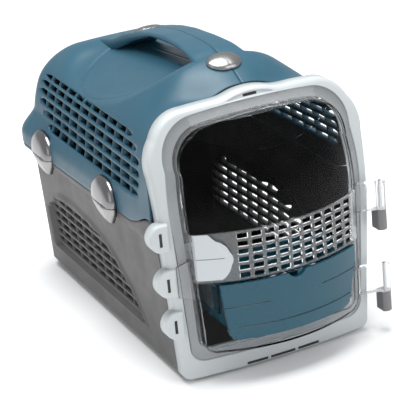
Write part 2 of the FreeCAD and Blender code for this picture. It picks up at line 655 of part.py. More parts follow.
# ---------------------------------------------------------------- hinge blocks and pins
def hinge_block(z):
    """Dark block under a clear knuckle, with a foot that plugs into the frame's boss."""
    z1 = z - KNUCKLE_H / 2 - GAP
    z0 = z1 - BLOCK_H
    block = along_z([(HINGE_X - 7, HINGE_Y - 4), ((HINGE_X, HINGE_Y - 7), (HINGE_X + 7, HINGE_Y)),
                     (HINGE_X + 5, FRONT_Y + 8.5), (HINGE_X - 7, FRONT_Y + 8.5)], z0, z1)
    return block.cut(rod(PIN_R, V(HINGE_X, HINGE_Y, z0 - 1), V(HINGE_X, HINGE_Y, z1 + 1)))


def hinge_pin(z):
    z0 = z - KNUCKLE_H / 2 - GAP - BLOCK_H
    return rod(PIN_R, V(HINGE_X, HINGE_Y, z0), V(HINGE_X, HINGE_Y, z + KNUCKLE_H / 2 + 1.5))


# ---------------------------------------------------------------- assembly
def build():
    pieces["base_tub"] = base_tub()
    for name, x, y in (("front_left", -95, -170), ("front_right", 95, -170), ("rear_left", -92, 200), ("rear_right", 92, 200)):
        pieces["foot_" + name] = foot(x, y)
    left, right = roof_shell(False), roof_shell(True)
    for which in TOP_CLIPS:
        left = left.fuse(top_clip_lugs(which))
        left = left.cut(rod(1.2, top_clip_point(which, TOP_CLIP_PIN_X, -20, TOP_CLIP_PIN_Z),
                            top_clip_point(which, TOP_CLIP_PIN_X, 20, TOP_CLIP_PIN_Z)))
        pieces["top_clip_" + which] = top_clip(which)
        pieces["top_clip_pin_" + which] = top_clip_pin(which)
    pieces["roof_panel_left"] = one(left.removeSplitter())
    pieces["roof_panel_right"] = one(right.removeSplitter())
    for place, y in SIDE_CLIP_Y.items():
        upper, lower, pin = side_clip(y)
        for side in ("right", "left"):
            turn = mirrored if side == "left" else (lambda shape: shape)
            pieces["side_clip_upper_%s_%s" % (side, place)] = turn(upper)
            pieces["side_clip_lower_%s_%s" % (side, place)] = turn(lower)
            pieces["side_clip_pin_%s_%s" % (side, place)] = turn(pin)
    pieces["front_frame"] = front_frame()
    pieces["door_shell"] = door_shell()
    pieces["feeding_tray"] = feeding_tray()
    pieces["latch_paddle"] = latch_paddle()
    for name, z in HINGE_LEVELS.items():
        pieces["hinge_block_" + name] = hinge_block(z)
        pieces["hinge_pin_" + name] = hinge_pin(z)


build()
os.makedirs("parts", exist_ok=True)
for name, shape in pieces.items():
    box_ = shape.BoundBox
    print("%-30s solids %d valid %s vol %.0f  x %.1f..%.1f y %.1f..%.1f z %.1f..%.1f" % (
        name, len(shape.Solids), shape.isValid(), shape.Volume,
        box_.XMin, box_.XMax, box_.YMin, box_.YMax, box_.ZMin, box_.ZMax))
    shape.exportStep("parts/" + name + ".step")
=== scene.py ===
"""A hard-shell carrier for a small pet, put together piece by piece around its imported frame.

Metres, +Z up. The door looks along -Y and +X is on the right of someone who faces the door.
"""
import math

import bmesh
import bpy
import numpy as np
from mathutils import Matrix, Vector


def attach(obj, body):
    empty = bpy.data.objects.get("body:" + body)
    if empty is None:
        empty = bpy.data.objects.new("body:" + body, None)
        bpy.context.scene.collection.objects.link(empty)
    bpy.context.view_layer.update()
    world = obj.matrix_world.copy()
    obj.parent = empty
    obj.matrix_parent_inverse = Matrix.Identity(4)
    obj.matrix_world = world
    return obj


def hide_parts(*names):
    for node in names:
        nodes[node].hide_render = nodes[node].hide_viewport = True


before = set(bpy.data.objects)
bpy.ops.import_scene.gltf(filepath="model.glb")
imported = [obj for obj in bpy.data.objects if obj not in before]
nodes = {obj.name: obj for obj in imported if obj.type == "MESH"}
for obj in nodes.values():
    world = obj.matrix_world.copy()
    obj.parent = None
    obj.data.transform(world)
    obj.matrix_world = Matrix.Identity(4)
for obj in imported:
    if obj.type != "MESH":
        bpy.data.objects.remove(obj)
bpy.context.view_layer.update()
scene = bpy.context.scene

# ------------------------------------------------------------------ camera
# A long lens from the front left, a little above the carrier, with the small tilt of a hand-held view.
YAW, PITCH, ROLL = (math.radians(a) for a in (-23.8458, 21.7658, -5.6705))
AIM = Vector((0.013076, 0.0170, 0.133964))
DISTANCE = 2.31791

back = Vector((math.sin(YAW) * math.cos(PITCH), -math.cos(YAW) * math.cos(PITCH), math.sin(PITCH)))
level = (-back).cross(Vector((0, 0, 1))).normalized()
upright = level.cross(-back)
side = math.cos(ROLL) * level + math.sin(ROLL) * upright
head = -math.sin(ROLL) * level + math.cos(ROLL) * upright
lens = bpy.data.cameras.new("camera")
lens.sensor_width = 36.0
lens.lens = 158.36
lens.clip_end = 50.0
camera = bpy.data.objects.new("camera", lens)
turned = Matrix((side, head, back)).transposed().to_4x4()
camera.matrix_world = Matrix.Translation(AIM + back * DISTANCE) @ turned
scene.collection.objects.link(camera)
scene.camera = camera

# ------------------------------------------------------------------ floor and light
# A plain pale floor, one big soft light overhead, a softer one on the door's side and a pale room.
scene.view_settings.view_transform = "Standard"


def soft_light(name, place, target, size, power):
    """A square area light that looks from a place at a target."""
    data = bpy.data.lights.new(name, "AREA")
    data.size = size
    data.energy = power
    lamp = bpy.data.objects.new(name, data)
    aim = Vector(target) - Vector(place)
    lamp.matrix_world = Matrix.Translation(place) @ aim.to_track_quat("-Z", "Y").to_matrix().to_4x4()
    scene.collection.objects.link(lamp)


soft_light("light_top", (-0.1, 0.0, 2.2), (0, 0, 0.2), 1.5, 66)
soft_light("light_front", (0.9, -2.0, 1.3), (0, 0, 0.2), 1.2, 14)
soft_light("light_left", (-2.2, -0.4, 0.9), (0, 0, 0.15), 1.2, 4)
room = bpy.data.worlds.new("room")
room.use_nodes = True
room.node_tree.nodes["Background"].inputs["Color"].default_value = (0.97, 0.98, 1.0, 1)
room.node_tree.nodes["Background"].inputs["Strength"].default_value = 0.55
scene.world = room


def node_chain(name):
    """A new material with its shader, and a maker of nodes and links for it."""
    material = bpy.data.materials.new(name)
    material.use_nodes = True
    tree = material.node_tree
    shader = tree.nodes["Principled BSDF"]

    def make(kind, inputs=None, **settings):
        """One node: settings go on it, and inputs are numbers or other nodes' sockets."""
        made = tree.nodes.new(kind)
        for key, value in settings.items():
            setattr(made, key, value)
        for key, value in (inputs or {}).items():
            if isinstance(value, bpy.types.NodeSocket):
                tree.links.new(value, made.inputs[key])
            else:
                made.inputs[key].default_value = value
        return made

    return material, tree, shader, make


def floor_paper():
    """Pale seamless paper with a faint cloudiness."""
    material, tree, shader, make = node_chain("floor_paper")
    where = make("ShaderNodeTexCoord").outputs["Object"]
    cloud = make("ShaderNodeTexNoise", {"Vector": where, "Scale": 3.0, "Detail": 3.0})
    tone = make("ShaderNodeValToRGB", {"Fac": cloud.outputs["Fac"]})
    tone.color_ramp.elements[0].color = (0.93, 0.935, 0.94, 1)
    tone.color_ramp.elements[1].color = (0.95, 0.95, 0.95, 1)
    tree.links.new(tone.outputs["Color"], shader.inputs["Base Color"])
    shader.inputs["Roughness"].default_value = 0.75
    shader.inputs["Specular IOR Level"].default_value = 0.15
    return material


sheet = bpy.data.meshes.new("floor")
sheet.from_pydata([(-6, -6, 0), (6, -6, 0), (6, 6, 0), (-6, 6, 0)], [], [(0, 1, 2, 3)])
sheet.materials.append(floor_paper())
floor = bpy.data.objects.new("floor", sheet)
scene.collection.objects.link(floor)


# ------------------------------------------------------------------ feet
# Four soft black rubber pads, moulded and pressed in under the tub's corners. They stay as packed.
def moulded(name, colour, roughness, vary=0.06, grain=0.12, grain_mm=0.9, coat=0.0, gleam=0.5):
    """Moulded plastic: slow colour drift, uneven gloss, and a fine grain as bump."""
    material, tree, shader, make = node_chain(name)
    where = make("ShaderNodeTexCoord").outputs["Object"]
    drift = make("ShaderNodeTexNoise", {"Vector": where, "Scale": 9.0, "Detail": 4.0, "Roughness": 0.6})
    tone = make("ShaderNodeValToRGB", {"Fac": drift.outputs["Fac"]})
    tone.color_ramp.elements[0].position = 0.3
    tone.color_ramp.elements[1].position = 0.7
    tone.color_ramp.elements[0].color = (*[c * (1 - vary) for c in colour], 1)
    tone.color_ramp.elements[1].color = (*[min(c * (1 + vary), 1) for c in colour], 1)
    tree.links.new(tone.outputs["Color"], shader.inputs["Base Color"])
    smudge = make("ShaderNodeTexNoise", {"Vector": where, "Scale": 26.0, "Detail": 5.0, "Roughness": 0.65})
    gloss = make("ShaderNodeMapRange", {"Value": smudge.outputs["Fac"], "From Min": 0.3, "From Max": 0.7,
                                        "To Min": roughness * 0.86, "To Max": min(roughness * 1.16, 1)})
    tree.links.new(gloss.outputs["Result"], shader.inputs["Roughness"])
    fine = make("ShaderNodeTexNoise", {"Vector": where, "Scale": 1000.0 / grain_mm, "Detail": 2.0})
    relief = make("ShaderNodeBump", {"Height": fine.outputs["Fac"], "Strength": grain, "Distance": 0.0002})
    tree.links.new(relief.outputs["Normal"], shader.inputs["Normal"])
    shader.inputs["Specular IOR Level"].default_value = gleam
    shader.inputs["Coat Weight"].default_value = coat
    shader.inputs["Coat Roughness"].default_value = 0.12
    return material


def dress(material, *names):
    """Give CAD nodes a material."""
    for name in names:
        slots = nodes[name].data.materials
        for index in range(len(slots)):
            slots[index] = material
        if not len(slots):
            slots.append(material)


rubber = moulded("foot_rubber", (0.02, 0.02, 0.02), 0.8)
dress(rubber, *[n for n in nodes if n.startswith("foot_")])


# ------------------------------------------------------------------ base tub
# One charcoal injection moulding with a spark texture: tapered walls, round rear corners, and on each side
# a sunk vent field under an arched lip. The feet, the frame and the side clips' lower leaves sit on it.
MM = 0.001
SEAM_Z, SEAM_CLIMB = 194.0, 18.0
FRAME_BACK_Y, FRAME_BOW, FRAME_HALF_X, LEAN_Z = -202.0, 12.06, 141.4, 180.0
RIB_STEP, RIB, FIRST_RIB = 30.0, 1.6, 12.0
POINT_LENGTH = 14.0
WALL, DEEP_RIB = 2.6, 8.0
TUB_FLOOR_Z, TUB_RIM_Z, TUB_CORNER_Y, TUB_FRONT_Y = 4.0, 193.4, 206.0, -190.0
TUB_ROWS = [51.0 + 12.6 * i for i in range(6)]
TUB_SLOT, TUB_BAR, LIP_BEVEL = 8.8, 1.9, 9.0
LIP_Y = [-140, -118, -111, -84, -53, -22, 36, 101, 150, 184, 206]
LIP_Z = [20, 30, 44, 84, 106, 126, 140, 146, 142, 130, 112]
VENT_SILL_Z, VENT_END_Y, VENT_EDGE = 38.0, 212.0, 12.5


def smooth(t):
    """The cubic ease from 0 to 1: 3t^2 - 2t^3, held at its ends."""
    t = np.clip(t, 0.0, 1.0)
    return t * t * (3.0 - 2.0 * t)


def seam(y):
    """Height of the seam between tub and roof: level at the back, 18 mm higher beside the frame."""
    return SEAM_Z + SEAM_CLIMB * smooth((-118.0 - y) / 72.0)


def front_edge(x, z, gap):
    """Y of the frame's rear face: a bow of 12 mm in plan, and a lean that grows with the square of height."""
    lean = 0.001285 * np.maximum(z - LEAN_Z, 0.0) ** 2 + 0.000118 * np.maximum(LEAN_Z - z, 0.0) ** 2
    return FRAME_BACK_Y + gap + FRAME_BOW * (x / FRAME_HALF_X) ** 2 + lean


def vent_columns(first, last, step):
    """Y stations that hold both edges of every upright rib, with even steps between them."""
    ribs = np.arange(first + FIRST_RIB, last, RIB_STEP)
    edges = [first, *np.stack([ribs - RIB / 2, ribs + RIB / 2], axis=1).ravel(), last]
    stations = []
    for a, b in zip(edges, edges[1:]):
        stations.append(np.linspace(a, b, max(int(round((b - a) / step)), 1), endpoint=False))
    return np.concatenate(stations + [[last]])


def between_ribs(y, first):
    """True where a station lies in a slot, not on an upright rib."""
    phase = (y - first - FIRST_RIB + RIB_STEP / 2) % RIB_STEP - RIB_STEP / 2
    return np.abs(phase) > RIB / 2 - 0.01


def slot_row(z_line, y_line, low, high, depth, first):
    """One vent row: the shift that draws its ends to points, and the cells that are cut out of the wall.

    Depth is the way into the field at each station. The row's grid lines close in on its middle with the
    square root of that depth.
    """
    cut = (depth[1:] + depth[:-1]) / 2 > 0
    touches = np.concatenate([[False], cut]) | np.concatenate([cut, [False]])
    point = np.where(touches, np.sqrt(np.clip(depth / POINT_LENGTH, 0.004, 1.0)), 1.0)
    band = (z_line > low - 0.01) & (z_line < high + 0.01)
    shift = np.where(band[:, None], (z_line - (low + high) / 2)[:, None] * (point - 1.0), 0.0)
    centres = (z_line[1:] + z_line[:-1]) / 2
    inside = (centres > low) & (centres < high)
    return shift, inside[:, None] & cut & between_ribs((y_line[1:] + y_line[:-1]) / 2, first)


def grid_faces(rows, columns, keep=None):
    """Quads over a grid of points numbered row by row; keep picks the cells that are solid."""
    index = np.arange(rows * columns).reshape(rows, columns)
    quads = np.stack([index[:-1, :-1], index[:-1, 1:], index[1:, 1:], index[1:, :-1]], axis=-1)
    return quads[keep] if keep is not None else quads.reshape(-1, 4)


def piece_from(name, patches, body, materials, wall=0.0, flip=False, replaces=(), deep=None):
    """One object from several patches of (points in mm, quads), welded where they meet, with a wall inside.

    Deep gives the share of the wall's thickness that each point has, from its place in mm.
    """
    points = np.concatenate([p.reshape(-1, 3) for p, _ in patches]) * MM
    starts = np.cumsum([0] + [p.reshape(-1, 3).shape[0] for p, _ in patches])[:-1]
    quads = np.concatenate([q + start for (_, q), start in zip(patches, starts)])
    if flip:
        quads = quads[:, ::-1]
    places = np.round(points / 2e-6).astype(np.int64)
    _, first, inverse = np.unique(places, axis=0, return_index=True, return_inverse=True)
    quads = inverse.reshape(-1)[quads]
    faces = []
    for face in quads.tolist():
        corners = list(dict.fromkeys(face))
        if len(corners) > 2:
            faces.append(corners)
    mesh = bpy.data.meshes.new(name)
    mesh.from_pydata(points[first].tolist(), [], faces)
    mesh.validate()
    mesh.shade_smooth()
    for material in materials:
        mesh.materials.append(material)
    made = bpy.data.objects.new(name, mesh)
    scene.collection.objects.link(made)
    if wall:
        thick = made.modifiers.new("wall", "SOLIDIFY")
        thick.thickness = wall * MM
        thick.offset = -1.0
        thick.use_even_offset = deep is None
        # The second material goes on the wall's inner side; for the tub and the roof it is a near-black painted
        # shade.
        if len(materials) > 1:
            thick.material_offset = 1
        if deep is not None:
            group = made.vertex_groups.new(name="wall_share")
            for index, share in enumerate(deep(points[first] / MM).tolist()):
                group.add([index], share, "REPLACE")
            thick.vertex_group = group.name
    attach(made, body)
    if replaces:
        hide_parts(*replaces)
    return made


def tub_level(z):
    """Half widths at front and back, back wall and corner radius of the tub at a height."""
    levels = np.array([TUB_FLOOR_Z, 6.0, 14.0, 176.0, 188.0, 222.0])
    front = np.interp(z, levels, [119.0, 123.5, 128.3, 139.6, 141.8, 142.4])
    rear = np.interp(z, levels, [115.0, 119.5, 125.0, 134.0, 147.5, 148.5])
    back = np.interp(z, levels, [246.0, 250.5, 256.0, 259.0, 265.0, 266.0])
    radius = np.interp(z, levels, [24.0, 26.0, 28.0, 38.0, 42.0, 42.0])
    return front, rear, back, radius


def vent_depth(y, z):
    """How far a place on the tub's wall lies inside the vent field, in mm: the least of the ways out."""
    lip = np.mean([np.interp(y + d, LIP_Y, LIP_Z) for d in (-8, -4, 0, 4, 8)], axis=0)
    return np.minimum(np.minimum((lip - z) * 0.8, (z - VENT_SILL_Z) * 2.0), VENT_END_Y - y)


def tub_levels():
    """Heights of the grid's rows: both edges of every slot, close steps at the base, the lip and the rim."""
    heights = [np.linspace(TUB_FLOOR_Z, 14, 6)[:-1], np.linspace(14, 45, 12)]
    for low in TUB_ROWS:
        heights.append(np.linspace(low - TUB_BAR, low, 2, endpoint=False))
        heights.append(np.linspace(low, low + TUB_SLOT, 5))
    heights.append(np.linspace(127, 176, 26))
    heights.append(np.linspace(179, TUB_RIM_Z, 7))
    return np.unique(np.round(np.concatenate(heights), 3))


def tub_half():
    """The tub's left half: plan line, corner arc and back line at each height, in rows up the wall.

    The side runs straight from the front half width to the rear one, the corner is a quarter circle, and the
    back is level. The vent field goes out by its bevel and then in by the sink, both by the cubic ease.
    """
    z_level = tub_levels()
    y_line = vent_columns(TUB_FRONT_Y, TUB_CORNER_Y, 2.5)
    turn = np.radians(np.linspace(0, 90, 15))
    across = np.linspace(1, 0, 24)[1:]
    n, m = len(y_line), len(turn)
    y_all = np.concatenate([y_line, np.full(m + len(across), TUB_CORNER_Y)])
    z = np.repeat(z_level[:, None], len(y_all), axis=1)
    top = seam(y_all)[None, :] - 0.6
    share = (z_level / TUB_RIM_Z)[:, None]
    z = np.where(share > 0.91, z + (top - TUB_RIM_Z) * (share - 0.91) / 0.09, z)
    cut = np.zeros((len(z_level) - 1, n - 1), bool)
    for low in TUB_ROWS:
        depth = vent_depth(y_line, low + TUB_SLOT / 2) - VENT_EDGE
        shift, cells = slot_row(z_level, y_line, low, low + TUB_SLOT, depth, TUB_FRONT_Y)
        z[:, :n] += shift
        cut |= cells
    front, rear, back, radius = tub_level(z)
    start = back - radius
    y = np.zeros_like(z)
    x = np.zeros_like(z)
    mouth = front_edge(front[:, :1], z[:, :1], 0.0)
    near_mouth = np.clip((y_line + 150.0) / -40.0, 0, 1)
    y[:, :n] = y_line[None, :] + near_mouth[None, :] * (mouth - TUB_FRONT_Y)
    y[:, n - 1] = start[:, n - 1]
    x[:, :n] = -(front[:, :n] + (rear[:, :n] - front[:, :n]) * (y[:, :n] + 235.0) / (start[:, :n] + 235.0))
    x[:, n:n + m] = -(rear[:, n:n + m] - radius[:, n:n + m] * (1 - np.cos(turn)))
    y[:, n:n + m] = start[:, n:n + m] + radius[:, n:n + m] * np.sin(turn)
    x[:, n + m:] = -(rear[:, n + m:] - radius[:, n + m:]) * across
    y[:, n + m:] = back[:, n + m:]
    inside = vent_depth(y, z)[:, :n]
    x[:, :n] += 7.0 * smooth((inside - LIP_BEVEL) / 3.0) - 2.6 * smooth(inside / LIP_BEVEL)
    points = np.stack([x, y, z], axis=-1)
    keep = np.ones((len(z_level) - 1, z.shape[1] - 1), bool)
    keep[:, :n - 1] &= ~cut
    under = np.stack([points[0] * np.array([s, 1, 1]) for s in np.linspace(1, 0, 8)])
    return (points, grid_faces(*z.shape, keep)), (under, grid_faces(*under.shape[:2])[:, ::-1])


def tub_share(points):
    """Share of the wall's thickness: the vent's bars reach 8 mm in, like blades, and the rest is 2.6 mm."""
    inside = vent_depth(points[:, 1], points[:, 2])
    blades = smooth((inside - 11.0) / 3.0) * (points[:, 1] < TUB_CORNER_Y - 2.0)
    return WALL / DEEP_RIB + (1.0 - WALL / DEEP_RIB) * blades


charcoal = moulded("charcoal_plastic", (0.062, 0.061, 0.062), 0.5, vary=0.05, grain=0.2)
# Painted shade: the tub wall's inner side gets a near-black colour that stands for the unlit inside of the tub.
shadow = moulded("charcoal_inside_painted_shade", (0.004, 0.004, 0.0045), 0.9)
left_side = tub_half()
right_side = [(p * np.array([-1, 1, 1]), q[:, ::-1]) for p, q in left_side]
piece_from("tub", [*left_side, *right_side], "shell", [charcoal, shadow], wall=DEEP_RIB,
           flip=True, replaces=["base_tub"], deep=tub_share)


# ------------------------------------------------------------------ front frame
# A white moulding that clips on to the tub's mouth. Its front holds a rebate for the clear door, its top edge
# a low hump with a dished field, and its left edge three ears that take the door's catches.
MIDDLE = np.array([0.0, 180.0])
AROUND = np.linspace(0, 2 * math.pi, 641)
FRAME_DEPTH, FRAME_WALL, FACE_THICK, REBATE, EDGE_R = 18.0, 3.4, 6.6, 2.6, 5.0


def arc_points(start, middle, end, count=14):
    """Points on the circle through three points, without the first: centre by the perpendicular bisectors."""
    (ax, ay), (bx, by), (cx, cy) = start, middle, end
    d = 2 * (ax * (by - cy) + bx * (cy - ay) + cx * (ay - by))
    ux = ((ax**2 + ay**2) * (by - cy) + (bx**2 + by**2) * (cy - ay) + (cx**2 + cy**2) * (ay - by)) / d
    uy = ((ax**2 + ay**2) * (cx - bx) + (bx**2 + by**2) * (ax - cx) + (cx**2 + cy**2) * (bx - ax)) / d
    a0, a1, a2 = (math.atan2(py - uy, px - ux) for px, py in (start, middle, end))
    turn = (a2 - a0) % (2 * math.pi)
    if (a1 - a0) % (2 * math.pi) > turn:
        turn -= 2 * math.pi
    angles = a0 + turn * np.arange(1, count + 1) / count
    radius = math.hypot(ax - ux, ay - uy)
    return np.stack([ux + radius * np.cos(angles), uy + radius * np.sin(angles)], axis=1)


def reach(corners, centre=MIDDLE, angles=AROUND):
    """Distance from a centre to a closed outline at each angle; a corner ((mid), (end)) is an arc."""
    line = [np.array([corners[0]], float)]
    for item in corners[1:] + [corners[0]]:
        here = line[-1][-1]
        if isinstance(item[0], tuple):
            line.append(arc_points(tuple(here), *item))
        else:
            line.append(here + (np.array(item, float) - here) * np.linspace(0, 1, 25)[1:, None])
    line = np.concatenate(line) - centre
    bearing = np.unwrap(np.arctan2(line[:, 1], line[:, 0]))
    if bearing[-1] < bearing[0]:
        line, bearing = line[::-1], bearing[::-1]
    shift = np.floor(bearing[0] / (2 * math.pi)) * 2 * math.pi
    return np.interp(angles + shift, bearing, np.hypot(line[:, 0], line[:, 1]), period=2 * math.pi)


FRAME_LINE = [(116, 4), ((126, 7.5), (129, 18)), (139.0, 190), ((139.8, 230), (140.8, 264)),
              ((139.5, 290), (129.5, 308)), ((114, 327), (84, 336.3)), ((64, 337.6), (50, 338)),
              ((34, 339.5), (24, 342)), ((0, 345), (-24, 342)), ((-34, 339.5), (-50, 338)),
              ((-64, 337.6), (-84, 336.3)), ((-114, 327), (-129.5, 308)), ((-139.5, 290), (-140.8, 264)),
              ((-139.8, 230), (-139.0, 190)), (-129, 18), ((-126, 7.5), (-116, 4))]
DOOR_LINE = [(96, 28), ((112, 34), (118, 50)), (126, 200), ((126, 240), (122.5, 272)),
             ((110, 314), (82, 328.5)), ((0, 332.5), (-82, 328.5)), ((-110, 314), (-122.5, 272)),
             ((-126, 240), (-126, 200)), (-118, 50), ((-112, 34), (-96, 28))]
MOUTH_LINE = [(88, 42), ((102, 46), (107, 58)), (113.5, 200), ((113.5, 240), (111, 266)),
              ((100, 305), (76, 318)), ((0, 322), (-76, 318)), ((-100, 305), (-111, 266)),
              ((-113.5, 240), (-113.5, 200)), (-107, 58), ((-102, 46), (-88, 42))]
FRAME_R, DOOR_R, MOUTH_R = reach(FRAME_LINE), reach(DOOR_LINE), reach(MOUTH_LINE)


def rings(radii, depths, surface):
    """A grid of rings round the middle: each is a reach from MIDDLE and a depth behind a front surface."""
    x = MIDDLE[0] + radii * np.cos(AROUND)
    z = MIDDLE[1] + radii * np.sin(AROUND)
    return np.stack([x, surface(x, z) + depths, z], axis=-1)


def face_y(x, z):
    """The frame's bowed and leaning front face."""
    return front_edge(x, z, -FRAME_DEPTH)


def frame_ring():
    """The frame's section, carried round: outer wall, crowned face, the door's rebate, the mouth and the back.

    Each row is a reach and a depth. The hump's field is dished by 2 mm with the cubic ease.
    """
    edge = DOOR_R + 0.7
    flat = FRAME_R - EDGE_R
    bend = np.radians(np.linspace(0, 90, 7))
    rows = [(FRAME_R, FRAME_DEPTH)]
    rows += [(FRAME_R - EDGE_R * (1 - math.cos(b)), EDGE_R * (1 - math.sin(b))) for b in bend]
    rows += [(edge + 1.0 + (flat - edge - 1.0) * t, 0.0) for t in np.linspace(1, 0, 16)[1:]]
    rows += [(edge + 0.3, 0.3), (edge, 1.0), (edge, REBATE)]
    rows += [(MOUTH_R + 1.2, REBATE), (MOUTH_R + 0.3, 2.9), (MOUTH_R, 3.8), (MOUTH_R, FACE_THICK)]
    rows += [(FRAME_R - FRAME_WALL, FACE_THICK), (FRAME_R - FRAME_WALL, FRAME_DEPTH), (FRAME_R, FRAME_DEPTH)]
    radii = np.stack([r for r, _ in rows])
    depths = np.array([d for _, d in rows])[:, None] + 0 * radii
    points = rings(radii, depths, face_y)
    x, z = points[..., 0], points[..., 2]
    brow = np.interp(np.abs(x), [0, 24, 40, 52], [345, 342, 338.8, 338]) - 3.4
    inside = np.minimum(np.minimum(brow - z, z - 334.4), (50.0 - np.abs(x)) * 0.3)
    points[..., 1] += np.where(depths < 0.05, 2.0 * smooth(inside / 1.6), 0.0)
    return points, grid_faces(*points.shape[:2])


EARS = (198.0, 139.0, 84.0)
EAR_HALF, EAR_OUT, EAR_TIP_X, EAR_FACE, EAR_R = 17.5, 16.0, 157.4, 5.0, 3.0


def ear_root(level):
    """Distance of the frame's tapered side from the middle at an ear's height."""
    return 141.6 - (200 - level) * 12.6 / 182


def ear(level):
    """A rounded D-shaped ear: the outline's reach from its own centre, shrunk ring by ring on to the front."""
    edge = ear_root(level)
    tip = min(edge + EAR_OUT, EAR_TIP_X)
    line = [(edge - 9, level + EAR_HALF), (edge + 4, level + EAR_HALF),
            ((tip, level + 3), (edge + 2, level - EAR_HALF)), (edge - 9, level - EAR_HALF)]
    centre = np.array([edge + 2.0, level])
    around = np.linspace(0, 2 * math.pi, 97)
    far = reach(line, centre, around)
    bend = np.radians(np.linspace(0, 90, 6))
    rows = [(far * 0, 21.0), (far, 21.0), (far, EAR_FACE + EAR_R)]
    rows += [(far - EAR_R * (1 - math.cos(b)), EAR_FACE + EAR_R * (1 - math.sin(b))) for b in bend]
    rows += [(far * 0.5, EAR_FACE - 0.1), (far * 0, EAR_FACE - 0.2)]
    radius = np.stack([r for r, _ in rows])
    y = np.array([d for _, d in rows])[:, None] + FRAME_BACK_Y - FRAME_DEPTH + 0 * radius
    x, z = centre[0] + radius * np.cos(around), centre[1] + radius * np.sin(around)
    return np.stack([-x, y, z], axis=-1), grid_faces(*x.shape)[:, ::-1]


def ear_face(x, z):
    """Just in front of an ear's flat face."""
    return FRAME_BACK_Y - FRAME_DEPTH + EAR_FACE - 0.3 + 0 * x


def plate(x0, x1, z0, z1, surface, lift, count=12):
    """A thin near-black sheet of painted shade that stands for the dark inside of a slot: a small grid laid on a
    surface.
    """
    x, z = np.meshgrid(np.linspace(x0, x1, count), np.linspace(z0, z1, 4))
    return np.stack([x, surface(x, z) + lift, z], axis=-1), grid_faces(*x.shape)


white = moulded("white_plastic", (0.46, 0.49, 0.50), 0.34, vary=0.02, grain=0.05)
slot_painted_shade = moulded("slot_shadow", (0.02, 0.02, 0.02), 0.8)
piece_from("frame", [frame_ring()] + [ear(level) for level in EARS], "shell", [white],
           flip=True, replaces=["front_frame"])
# Painted shade: near-black sheets in the frame's three bottom slots, the hump's slot and the ears' catch slots,
# where there is only shade.
slots = [plate(-48, -20, 7.5, 11, face_y, -0.08), plate(-16, 18, 7.5, 11, face_y, -0.08),
         plate(22, 52, 7.5, 11, face_y, -0.08), plate(-9, 9, 336.2, 339.4, face_y, 1.9)]
for level in EARS:
    root = ear_root(level)
    slots.append(plate(-root - 4.4, -root - 0.8, level - 8.5, level + 8.5, ear_face, 0.0))
piece_from("frame_slot_painted_shade", slots, "shell", [slot_painted_shade])


# ------------------------------------------------------------------ roof
# Two satin blue half shells, moulded as a mirrored pair, that meet on the ridge. Each has a vent field in
# its side, half of the oval hand recess in its top, and half of the handle that crosses the recess.
RIDGE_Y = [-240, -200, -175, -165, -157, -140, -118, -90, -50, 0, 40, 80, 120, 160, 200, 235, 300]
RIDGE_H = [2, 3, 7, 12, 18, 27, 35, 41, 44, 44, 40, 33, 23, 9, 2, 0, 0]
SPREAD_Y = [-240, -175, -157, -140, -118, -60, 60, 300]
SPREAD = [34, 34, 48, 66, 84, 90, 75, 75]
CORE_X, CORE_Y, CORE_Z = 60.0, 212.0, 270.0
ROOF_FRONT_Y, RAY_FRONT_Y, RIDGE_GAP, RAY_LENGTH, HALVINGS = -200.0, -186.0, 0.25, 240.0, 26
ROOF_SLOT_Z, ROOF_STEP, ROOF_SLOT = 229.5, 12.8, 9.4
VENT_ROWS = [(ROOF_SLOT_Z + ROOF_STEP * i, ROOF_SLOT_Z + ROOF_STEP * i + ROOF_SLOT) for i in range(6)]
VENT_FRONT = [-152.0, -160.0, -162.0, -154.0, -138.0, -117.0]
VENT_REAR = [156.0, 180.0, 196.0, 204.0, 205.0, 198.0]


def round_corner(a, b, radius):
    """Two distance fields joined as an outer corner with a fillet of that radius."""
    reach = np.hypot(np.maximum(a + radius, 0), np.maximum(b + radius, 0))
    return np.minimum(np.maximum(a, b), -radius) + reach


def roof_top(x, y):
    """Height of the roof over the plan: a falling shoulder line, plus a ridge that dies away to each side."""
    rise = np.mean([np.interp(y + d, RIDGE_Y, RIDGE_H) for d in range(-8, 9, 2)], axis=0)
    spread = np.mean([np.interp(y + d, SPREAD_Y, SPREAD) for d in range(-12, 13, 4)], axis=0)
    return 336.0 - 14.0 * (y + 190.0) / 400.0 - 1.5 * (x / 76.0) ** 2 + rise * np.exp(-(np.abs(x) / spread) ** 3)


def hand_oval(x, y):
    """Distance from the rim of the oval recess, in mm and negative inside."""
    reach = np.hypot(np.maximum(np.abs(x) - 20.0, 0) / 100.0, (y - 45.0) / 120.0)
    return (reach - 1.0) * 105.0


def roof_field(x, y, z):
    """Below zero inside the roof: walls, back and top joined with fillets, less the sloping hand recess."""
    wide = np.abs(x)
    drop = 14.0 * (y + 190.0) / 400.0
    ease = smooth((243.0 - z) / 36.0)
    ledge = 0.6 + (6.5 / 460.0 + 0.025) * (y + 235.0) - 0.9
    wall = 141.4 - 0.025 * (y + 200.0) - 0.0031 * np.maximum(z - 235.0 + drop, 0) ** 2 + ledge * ease
    rear = 257.0 - 0.00095 * np.maximum(z - 200.0, 0) ** 2 + 9.0 * ease
    body = round_corner(round_corner(wide - wall, y - rear, 44.0), z - roof_top(x, y), 40.0)
    floor = 338.0 - 0.384 * np.maximum(wide - 20.0, 0) - 0.10 * y
    oval = hand_oval(x, y)
    slant = (oval - 1.1 * (z - floor)) / 1.49
    hollow = round_corner(slant, floor - z, 14.0)
    groove = 1.9 * np.exp(-((oval + 7.0) / 2.2) ** 2)
    return round_corner(body, -hollow, 11.0) + groove


